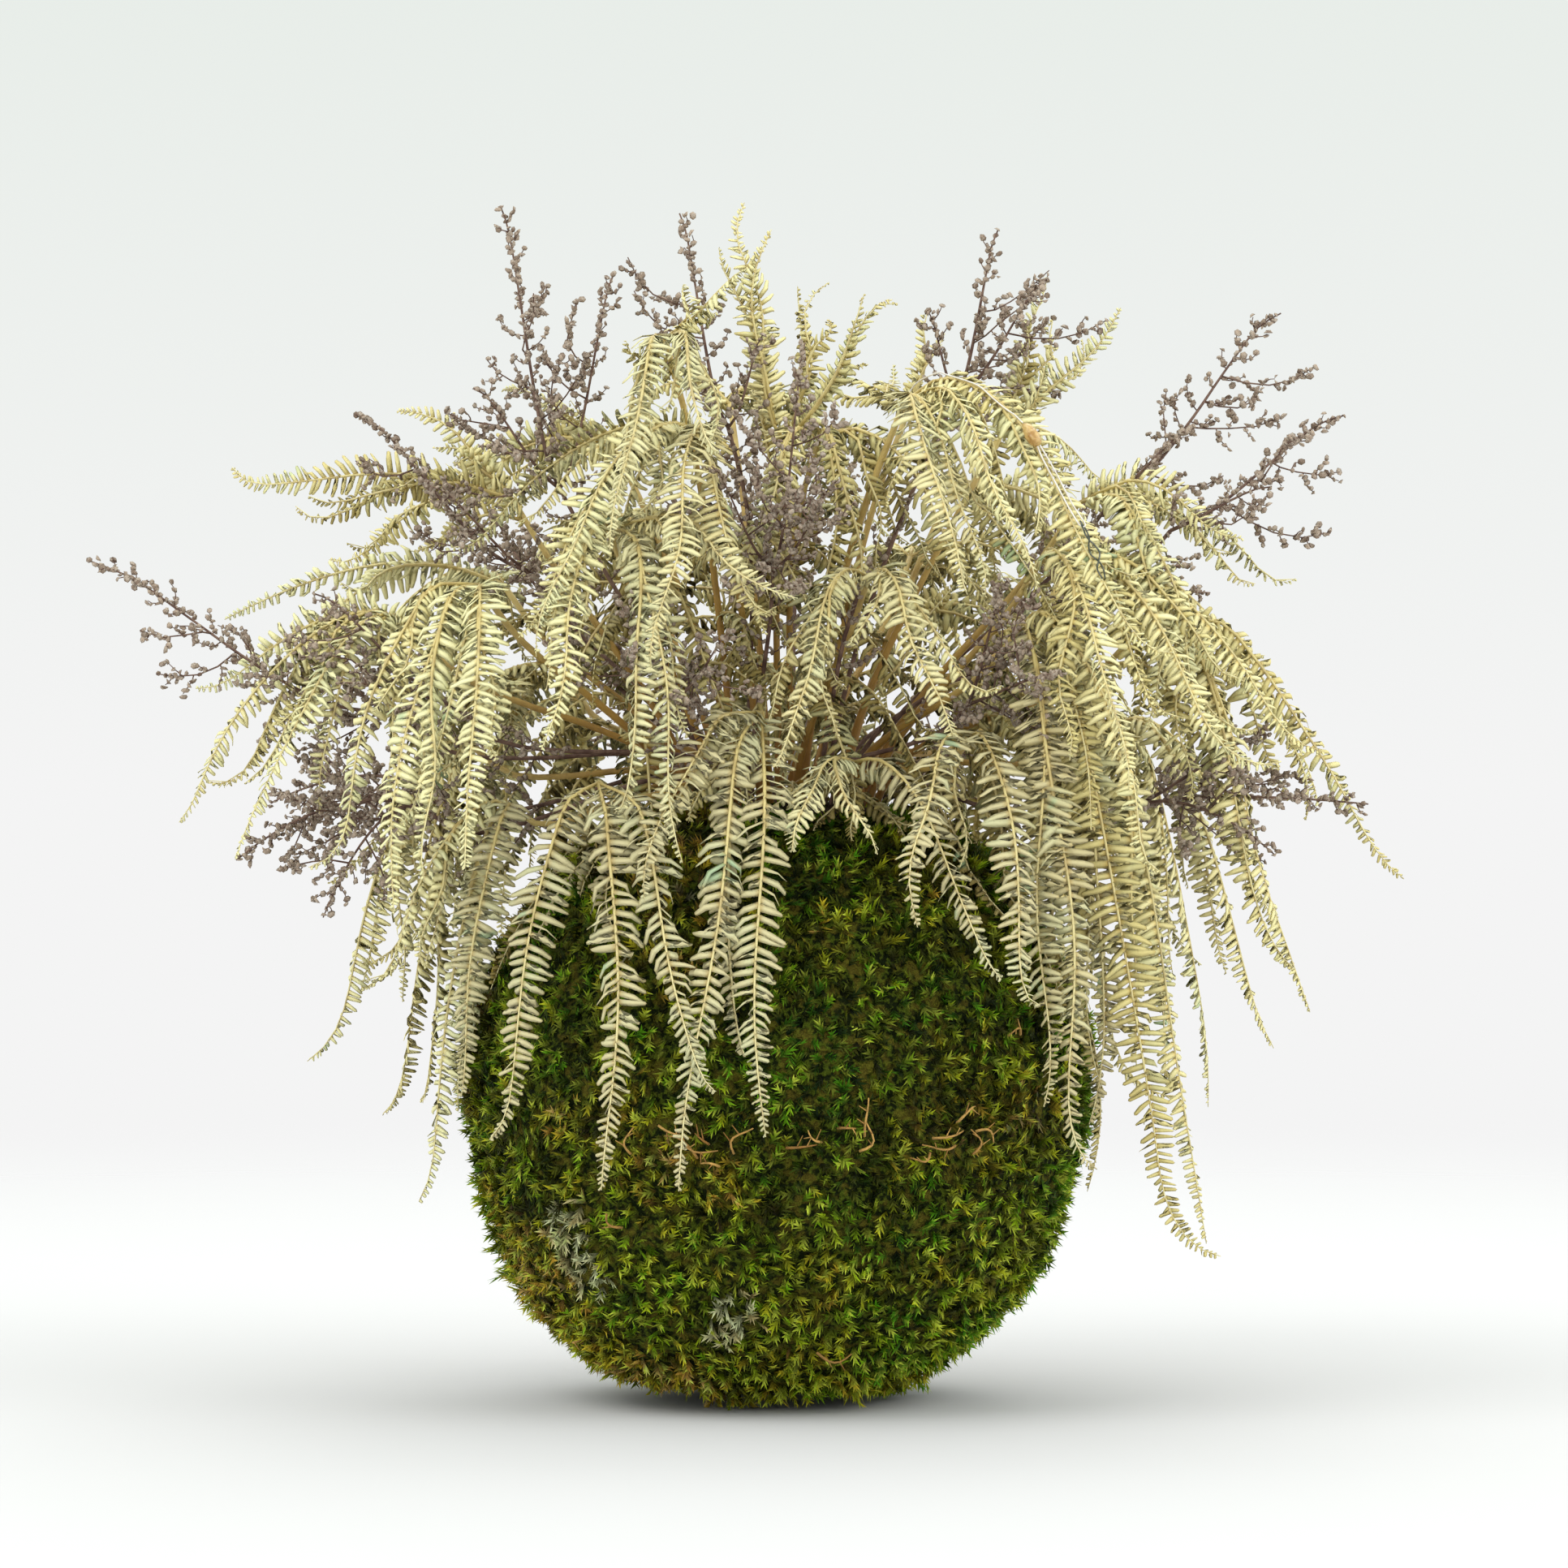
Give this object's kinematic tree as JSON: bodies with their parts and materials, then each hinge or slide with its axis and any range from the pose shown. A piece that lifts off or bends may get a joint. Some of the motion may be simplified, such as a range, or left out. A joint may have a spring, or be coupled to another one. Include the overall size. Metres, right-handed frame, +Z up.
{
  "type": "kokedama moss ball plant",
  "caption": "Moss-covered soil ball planted with bleached umbrella fern leaves and dried flower sprigs, with its hanging line laid slack over one leaf.",
  "frame": {"origin": "middle of the moss ball's flat underside", "axes": "+Z up out of the flat underside, -Y towards the front of the plant, +X to its right"},
  "size_m": [0.37, 0.289, 0.345],
  "materials": {
    "moss": "springy sheet moss, olive to bright green, matt",
    "soil": "dry peat and clay soil, dark brown, crumbly and matt",
    "fern_leaf": "bleached and dried fern, cream to pale sage, satin, with orange-brown stalks",
    "dried_sprig": "dried flower heads on thin stems, dusty grey-purple, matt",
    "nylon_line": "clear nylon line",
    "glued_knot": "amber glue over a knot, glossy",
    "hook_wire": "dark green florist's wire, satin"
  },
  "bodies": {
    "root": {"moss_cover": "moss", "soil_core": "soil", "fern_leaf_01": "fern_leaf", "fern_leaf_02": "fern_leaf", "fern_leaf_03": "fern_leaf", "fern_leaf_04": "fern_leaf", "fern_leaf_05": "fern_leaf", "fern_leaf_06": "fern_leaf", "fern_leaf_07": "fern_leaf", "fern_leaf_08": "fern_leaf", "fern_leaf_09": "fern_leaf", "fern_leaf_10": "fern_leaf", "fern_leaf_11": "fern_leaf", "fern_leaf_12": "fern_leaf", "fern_leaf_13": "fern_leaf", "fern_leaf_14": "fern_leaf", "fern_leaf_15": "fern_leaf", "fern_leaf_16": "fern_leaf", "fern_leaf_17": "fern_leaf", "fern_leaf_18": "fern_leaf", "fern_leaf_19": "fern_leaf", "fern_leaf_20": "fern_leaf", "fern_leaf_21": "fern_leaf", "fern_leaf_22": "fern_leaf", "fern_leaf_23": "fern_leaf", "fern_leaf_24": "fern_leaf", "fern_leaf_25": "fern_leaf", "fern_leaf_26": "fern_leaf", "fern_leaf_27": "fern_leaf", "fern_leaf_28": "fern_leaf", "fern_leaf_29": "fern_leaf", "fern_leaf_30": "fern_leaf", "fern_leaf_31": "fern_leaf", "fern_leaf_32": "fern_leaf", "fern_leaf_33": "fern_leaf", "flower_sprig_01": "dried_sprig", "flower_sprig_02": "dried_sprig", "flower_sprig_03": "dried_sprig", "flower_sprig_04": "dried_sprig", "flower_sprig_05": "dried_sprig", "flower_sprig_06": "dried_sprig", "flower_sprig_07": "dried_sprig", "flower_sprig_08": "dried_sprig", "flower_sprig_09": "dried_sprig", "flower_sprig_10": "dried_sprig", "flower_sprig_11": "dried_sprig", "flower_sprig_12": "dried_sprig", "flower_sprig_13": "dried_sprig", "flower_sprig_14": "dried_sprig", "flower_sprig_15": "dried_sprig", "flower_sprig_16": "dried_sprig", "flower_sprig_17": "dried_sprig", "flower_sprig_18": "dried_sprig", "flower_sprig_19": "dried_sprig", "flower_sprig_20": "dried_sprig", "hanging_line": "nylon_line", "line_knot": "glued_knot", "line_loop": "nylon_line", "wire_hook": "hook_wire"}
  },
  "joints": []
}
